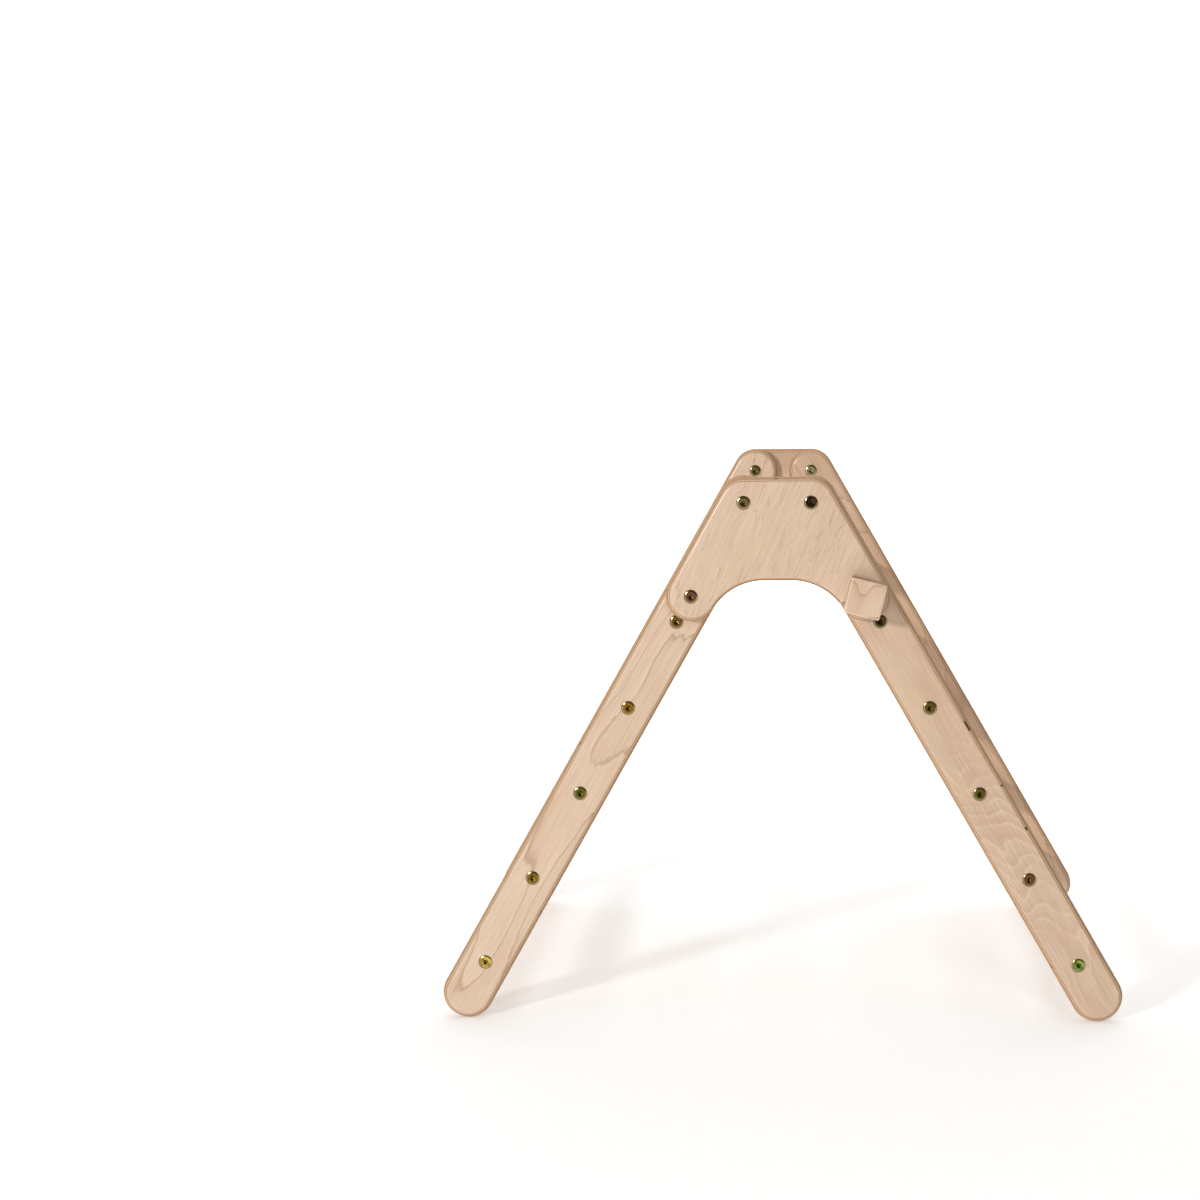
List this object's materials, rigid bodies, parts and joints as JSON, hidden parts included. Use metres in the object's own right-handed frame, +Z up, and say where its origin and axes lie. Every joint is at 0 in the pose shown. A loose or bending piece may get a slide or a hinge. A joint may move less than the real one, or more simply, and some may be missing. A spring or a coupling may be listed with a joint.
{
  "type": "folding climbing triangle",
  "caption": "Folding wooden climbing triangle: two ladder legs with round-ended plywood rails and round rungs, joined by arched hinge plates with square locking knobs.",
  "frame": {"origin": "on the floor, midway between the four feet", "axes": "+X along the spread of the legs towards the folding leg, +Y along the rungs from front to rear, +Z up"},
  "size_m": [0.865, 0.7164, 0.6954],
  "materials": {
    "birch_plywood": "pale birch plywood, smooth, matt clear oil, rounded edges with fine ply lines",
    "rung_wood": "pale beech, turned and sanded, matt clear oil",
    "knob_wood": "pale birch, sanded, matt clear oil",
    "yellow_zinc": "yellow-passivated zinc plate, olive to gold",
    "bright_zinc": "bright zinc plate"
  },
  "bodies": {
    "left_leg": {"front_hinge_plate": "birch_plywood", "rear_hinge_plate": "birch_plywood", "front_left_rail": "birch_plywood", "rear_left_rail": "birch_plywood", "left_rung_1": "rung_wood", "left_rung_2": "rung_wood", "left_rung_3": "rung_wood", "left_rung_4": "rung_wood", "left_rung_5": "rung_wood", "left_rung_bolts": "yellow_zinc", "left_rung_inserts": "bright_zinc", "plate_bolts": "yellow_zinc", "plate_sleeve_nuts": "yellow_zinc", "pivot_bolts": "yellow_zinc", "pivot_sleeve_nuts": "yellow_zinc"},
    "right_leg": {"front_right_rail": "birch_plywood", "rear_right_rail": "birch_plywood", "right_rung_1": "rung_wood", "right_rung_2": "rung_wood", "right_rung_3": "rung_wood", "right_rung_4": "rung_wood", "right_rung_5": "rung_wood", "right_rung_bolts": "yellow_zinc", "right_rung_inserts": "bright_zinc", "knob_insert_nuts": "bright_zinc"},
    "front_washer": {"front_knob_washer": "bright_zinc"},
    "front_knob": {"front_knob": "knob_wood", "front_knob_stud": "bright_zinc"},
    "rear_washer": {"rear_knob_washer": "bright_zinc"},
    "rear_knob": {"rear_knob": "knob_wood", "rear_knob_stud": "bright_zinc"}
  },
  "joints": [
    {"name": "leg_fold", "type": "hinge", "parent": "left_leg", "child": "right_leg", "pos_m": [0.042, 0, 0.66292], "axis": [0, 1, 0], "range_deg": [0, 59]},
    {"name": "front_knob_travel", "type": "slide", "parent": "right_leg", "child": "front_washer", "axis": [0, -1, 0], "range_m": [0, 0.0025]},
    {"name": "front_knob_turn", "type": "hinge", "parent": "front_washer", "child": "front_knob", "pos_m": [0.10867, -0.3432, 0.54553], "axis": [0, -1, 0], "range_deg": [0, 720]},
    {"name": "rear_knob_travel", "type": "slide", "parent": "right_leg", "child": "rear_washer", "axis": [0, 1, 0], "range_m": [0, 0.0025]},
    {"name": "rear_knob_turn", "type": "hinge", "parent": "rear_washer", "child": "rear_knob", "pos_m": [0.10867, 0.3432, 0.54553], "axis": [0, 1, 0], "range_deg": [0, 720]}
  ],
  "couplings": [
    {"joint": "front_knob_travel", "follows": "front_knob_turn", "m_per_rad": 0.00019894},
    {"joint": "rear_knob_travel", "follows": "rear_knob_turn", "m_per_rad": 0.00019894}
  ]
}
